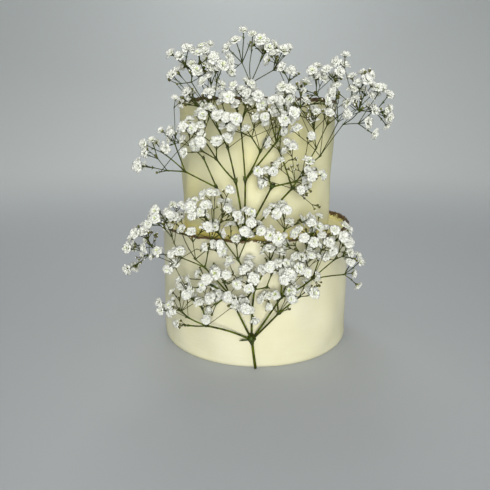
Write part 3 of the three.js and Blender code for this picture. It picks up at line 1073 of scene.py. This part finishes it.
def petal_description(start, place):
    """White with faint shade, and a yellow-green heart near the middle."""
    along = start.attribute("along")
    heart = 1 - along.rise(0.2, 0.62)
    shade = place.noise(900, 2).rise(0.4, 0.7) * 0.5
    white = shade.blend(PETAL_WHITE, PETAL_SHADE)
    return {
        "Base Color": (heart * 0.8).blend(white, PETAL_HEART),
        "Normal": place.noise(1500, 2).bump(0.00005),
    }


def stem_description(start, place):
    """Green with brown patches, browner where it is thin and darker at its ends."""
    node = start.attribute("node")
    fine = 1 - start.attribute("thick").rise(0.4, 0.8)
    patch = place.noise(160, 3).rise(0.35, 0.65)
    green = patch.blend(STEM_GREEN, STEM_BROWN)
    green = (fine * 0.75).blend(green, STEM_BROWN)
    return {
        "Base Color": (node * 0.6).blend(green, STEM_DARK),
        "Normal": place.noise(1200, 2).bump(0.0002),
    }


def bud_description(start, place):
    """Green with brown patches, and white at the tip."""
    along = start.attribute("along")
    patch = place.noise(500, 2).rise(0.35, 0.65)
    green = patch.blend(BUD_GREEN, BUD_BROWN)
    return {
        "Base Color": along.rise(0.62, 0.8).blend(green, PETAL_WHITE),
        "Normal": place.noise(1200, 2).bump(0.0002),
    }


def leaf_description(start, place):
    """Green with dark patches and a paler edge."""
    edge = start.attribute("edge").rise(0.4, 1)
    patch = place.noise(300, 3).rise(0.35, 0.65)
    green = patch.blend(LEAF_GREEN, STEM_DARK)
    return {
        "Base Color": (edge * 0.6).blend(green, LEAF_EDGE),
        "Normal": place.noise(900, 2).bump(0.0003),
    }


# The lower tier is painted yellower inside its lip, as shade and bounced light in the recess.
lower_icing = icing_finish(
    "cream_icing_of_the_lower_tier", CREAM, CREAM_DEEP,
    down=2.2, inwards=5, inside_lip_shade=0.5, gutter_shade=0,
)
# The upper tier is painted yellower at its foot, as shade and bounced light in the gutter above the
# ledge.
upper_icing = icing_finish(
    "cream_icing_of_the_upper_tier", CREAM_WARM_SHADED, CREAM_WARM_SHADED_DEEP,
    down=3.8, inwards=3, inside_lip_shade=0, gutter_shade=0.8,
)
petal_white = new_finish(
    "white_petals", petal_description, roughness=0.8,
    subsurface_weight=0.4, subsurface_scale=0.003, subsurface_radius=EVEN,
)
stem_green = new_finish("green_stems", stem_description, roughness=0.6, specular_ior_level=0.12)
bud_green = new_finish("green_buds_and_cups", bud_description, roughness=0.65, specular_ior_level=0.25)
leaf_green = new_finish("green_leaves", leaf_description, roughness=0.5, specular_ior_level=0.35)

# The cake

garden = Garden()
upper = Spray(garden, seed=407, foot=(-13.8, -95.4, 126.6), trunk=UPPER_BOUGHS, radius=1.7)
lower = Spray(garden, seed=1913, foot=(-1.6, -111.2, 0.3), trunk=LOWER_BOUGHS, radius=0.95)
upper.add_shoots(UPPER_THICKETS, seed=9700)
lower.add_shoots(LOWER_THICKETS, seed=6100)
SHEATHS = {
    "upper_spray": sheath_shell(
        (-13.8, -96, 128), (0, -0.34, 0.94),
        [-1, 0, 3, 7, 10, 10, 7, 4, 3], [0, 1.9, 2.1, 3.4, 4.6, 4.2, 3, 1.5, 0],
        [0, 0, 0, 1, 3.4, 3.4, 1, 0, 0],
    ),
    "lower_spray": sheath_shell(
        (-5.2, -113.2, 28.5), (-0.12, -0.07, 0.99),
        [-2, -1, 1.5, 4.5, 7.5, 7.5, 5, 3, 2], [0, 1.6, 2.2, 3.4, 4.6, 4.1, 2.9, 1.4, 0],
        [0, 0, 0, 0.9, 3, 3, 0.9, 0, 0],
    ),
}

add_piece("lower_tier_icing", [tier_shell(LOWER)], lower_icing, "lower_tier")
add_piece("upper_tier_icing", [tier_shell(UPPER)], upper_icing, "upper_tier")
for node, spray, seed in (("upper_spray", upper, 5), ("lower_spray", lower, 6)):
    rng = np.random.default_rng(seed)
    stems = stem_shells(spray.stems + spray.stalks, rng)
    add_piece(node + "_stems", [stems], stem_green, node)
    add_piece(node + "_florets", floret_shells(spray.florets, rng), petal_white, node)
    shoot_florets = floret_shells(spray.shoot_florets, rng)
    add_piece(node + "_shoot_florets", shoot_florets, petal_white, node)
    cups = cup_shells(spray.florets + spray.shoot_florets, rng)
    buds = bud_shells(spray.buds, rng)
    add_piece(node + "_buds", [cups, buds], bud_green, node)
    bracts = bract_shells(spray.stems, rng)
    leaves = [leaf_shells(spray.leaves, rng), bracts, knot_shells(spray.stems, rng), SHEATHS[node]]
    add_piece(node + "_leaves", leaves, leaf_green, node)

# Floor, light and camera, in metres

# Painted shade: the floor is darker near the cake, where the lights fall strongest
FLOOR_NEAR_SHADED = srgb(184, 188, 190)
FLOOR_FAR = srgb(226, 230, 229)
FLOOR_SIDES = 128
FLOOR_FLAT = 1.8
FLOOR_BEND = 1.0
FLOOR_TOP = 1.7
FLOOR_DROP = 0.0001


def floor_description(start, place):
    """Pale grey, with painted shade that darkens it near the cake where the lights fall strongest, and
    paler far from the cake.
    """
    away = start.node("ShaderNodeVectorMath", {"operation": "LENGTH"}, {0: place}, "Value")
    return {"Base Color": away.rise(0.5, 2.2).blend(FLOOR_NEAR_SHADED, FLOOR_FAR)}


def add_floor():
    """A disc that curves up into a low wall far from the cake: a profile carried round the axis."""
    rise = np.radians(np.linspace(0, 90, 25))
    bend = FLOOR_FLAT + FLOOR_BEND * np.sin(rise)
    radius = np.concatenate([[0.4, 1], bend, bend[-1:]])[:, None]
    height = np.concatenate([[0, 0], FLOOR_BEND - FLOOR_BEND * np.cos(rise), [FLOOR_TOP]])[:, None]
    turn = steps_round(FLOOR_SIDES)
    level = height - FLOOR_DROP + 0 * turn
    points = np.stack([radius * np.cos(turn), radius * np.sin(turn), level], axis=-1)
    number = np.arange(level.size).reshape(level.shape)
    after = np.roll(number, -1, axis=1)
    quads = np.stack([number[:-1], number[1:], after[1:], after[:-1]], axis=-1).reshape(-1, 4)
    faces = quads.tolist() + [number[0].tolist()]
    pale = new_finish("pale_floor", floor_description, roughness=0.9)
    floor = new_mesh_object("floor", points.reshape(-1, 3), faces, pale)


def add_light(name, place, size, power, colour, target=(0, 0, 0.14), spread=180):
    """A square soft light that faces the middle of the cake, or another target."""
    light = bpy.data.lights.new(name, "AREA")
    light.size = size
    light.spread = math.radians(spread)
    light.energy = power
    light.color = colour
    lamp = new_object(name, light)
    lamp.location = place
    lamp.rotation_euler = (Vector(place) - Vector(target)).to_track_quat("Z", "Y").to_euler()


WARM_LIGHT = (1, 0.99, 0.975)
COOL_LIGHT = (0.97, 0.99, 1)
ROOM_LIGHT = srgb(234, 235, 235)
ROOM_STRENGTH = 0.48

add_floor()
add_light("key_light", (0.03, -1.05, 0.56), 0.5, 0.42, WARM_LIGHT, (0, 0, 0.17), 60)
add_light("low_light", (0.03, -1.2, 0.3), 0.45, 1.42, WARM_LIGHT, (0, 0, 0.19), 60)
add_light("back_light", (-0.2, 1.2, 1.7), 0.8, 8, WARM_LIGHT)
add_light("wall_light", (0, 2, 1.9), 0.5, 5, COOL_LIGHT, (0, 2.8, 1))
world = bpy.data.worlds.new("soft_room")
world.use_nodes = True
ambient = world.node_tree.nodes["Background"].inputs
ambient["Color"].default_value = ROOM_LIGHT
ambient["Strength"].default_value = ROOM_STRENGTH
bpy.context.scene.world = world
bpy.context.scene.view_settings.view_transform = "Standard"

CAMERA_PLACE = (-0.0128, -0.5248, 0.2358)
CAMERA_PITCH = 14.4
CAMERA_ROLL = 0.27
LENS = 33.2

camera_data = bpy.data.cameras.new("camera")
camera_data.lens = LENS
camera = new_object("camera", camera_data)
tilt = Matrix.Rotation(math.radians(90 - CAMERA_PITCH), 4, "X")
roll = Matrix.Rotation(math.radians(CAMERA_ROLL), 4, "Z")
camera.matrix_world = Matrix.Translation(CAMERA_PLACE) @ tilt @ roll
bpy.context.scene.camera = camera
